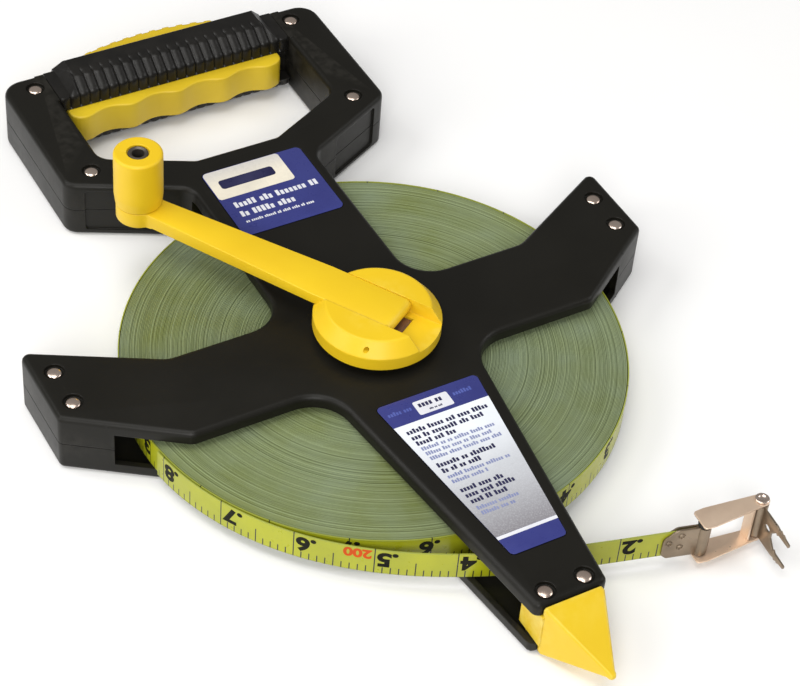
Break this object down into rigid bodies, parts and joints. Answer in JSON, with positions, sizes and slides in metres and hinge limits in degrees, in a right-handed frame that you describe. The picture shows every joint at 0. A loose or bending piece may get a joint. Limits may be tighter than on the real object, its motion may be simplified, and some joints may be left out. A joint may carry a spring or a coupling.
{
  "type": "surveyor tape reel",
  "caption": "Open-frame surveying tape reel with folding crank, D-shaped cushioned grip, ground spike at the nose and a hinged hook on the tape's end.",
  "frame": {"origin": "on the reel's axis, at the outer face of the rear frame half, which is the face the reel lies on", "axes": "+Z along the reel's axis towards the crank, +Y towards the grip, -Y towards the spike, +X to the right seen from the crank's side with the grip up"},
  "size_m": [0.2608, 0.3964, 0.0672],
  "materials": {
    "frame_plastic": "moulded black ABS, fine spark texture, satin",
    "grip_rubber": "soft black rubber, satin",
    "grip_yellow": "soft yellow plastic, satin",
    "spike_plastic": "moulded yellow plastic, half gloss",
    "crank_yellow": "moulded yellow plastic, half gloss",
    "rivet_steel": "plated steel, bright",
    "inner_steel": "turned steel",
    "spring_steel": "spring steel, straw tinted",
    "dark_steel": "dark steel tube",
    "hook_steel": "plated sheet steel, warm reflections",
    "black_rubber": "black rubber",
    "bearing_plastic": "natural acetal",
    "spool_plastic": "black moulded plastic",
    "tape_coating": "yellow-green nylon-clad steel tape with black marks",
    "tape_edges": "edges of the wound coated tape, fine spiral lines",
    "upper_label": "printed film, blue with a silver panel",
    "lower_label": "printed film, blue with a silver panel"
  },
  "bodies": {
    "frame": {"front_frame": "frame_plastic", "rear_frame": "frame_plastic", "upper_label": "upper_label", "lower_label": "lower_label", "handle_rear_rivet_right": "rivet_steel", "handle_rear_rivet_left": "rivet_steel", "handle_front_rivet_right": "rivet_steel", "handle_front_rivet_left": "rivet_steel", "arm_rear_rivet_right": "rivet_steel", "arm_rear_rivet_left": "rivet_steel", "arm_front_rivet_right": "rivet_steel", "arm_front_rivet_left": "rivet_steel", "nose_rivet_right": "rivet_steel", "nose_rivet_left": "rivet_steel", "nose_spike": "spike_plastic", "grip_core": "grip_yellow", "grip_sleeve_front": "grip_rubber", "grip_sleeve_rear": "grip_rubber", "front_bush": "bearing_plastic", "rear_bush": "bearing_plastic", "tape_lead": "tape_coating"},
    "reel": {"tape_roll": "tape_edges", "spool_core": "spool_plastic", "tape_anchor": "inner_steel", "spindle": "inner_steel", "spindle_spacer": "bearing_plastic", "crank_hub": "crank_yellow", "hub_screw": "inner_steel", "crank_leaf_spring": "spring_steel", "crank_hinge_pin": "inner_steel"},
    "crank": {"crank_arm": "crank_yellow", "knob_rivet": "dark_steel"},
    "knob": {"crank_knob": "crank_yellow"},
    "tape_end": {"tape_ferrule": "hook_steel", "ferrule_rivet_1": "hook_steel", "ferrule_rivet_2": "hook_steel", "ferrule_rivet_3": "hook_steel", "knuckle_pin": "hook_steel", "knuckle_spacer": "black_rubber"},
    "link": {"hook_link": "hook_steel", "link_pin": "hook_steel"},
    "claw": {"hook_claw": "hook_steel"}
  },
  "joints": [
    {"name": "reel_spin", "type": "hinge", "parent": "frame", "child": "reel", "pos_m": [0, 0, 0.0122], "axis": [0, 0, 1], "range_deg": [0, 360]},
    {"name": "tape_draw", "type": "slide", "parent": "frame", "child": "tape_end", "axis": [0.967, -0.2546, 0], "range_m": [0, 0.6368], "deforming": ["tape_lead"]},
    {"name": "crank_fold", "type": "hinge", "parent": "reel", "child": "crank", "pos_m": [0.00386, -0.00619, 0.03905], "axis": [0.8485, 0.5292, 0], "range_deg": [0, 180]},
    {"name": "knob_spin", "type": "hinge", "parent": "crank", "child": "knob", "pos_m": [-0.05885, 0.09435, 0.054], "axis": [0, 0, 1], "continuous": true},
    {"name": "hook_link_pivot", "type": "hinge", "parent": "tape_end", "child": "link", "pos_m": [0.06602, -0.13569, 0.013], "axis": [0, 0, 1], "range_deg": [-100, 100]},
    {"name": "claw_pivot", "type": "hinge", "parent": "link", "child": "claw", "pos_m": [0.09018, -0.13701, 0.013], "axis": [0, 0, 1], "range_deg": [-28, 212]}
  ],
  "couplings": [
    {"joint": "tape_draw", "follows": "reel_spin", "m_per_rad": 0.1013}
  ]
}
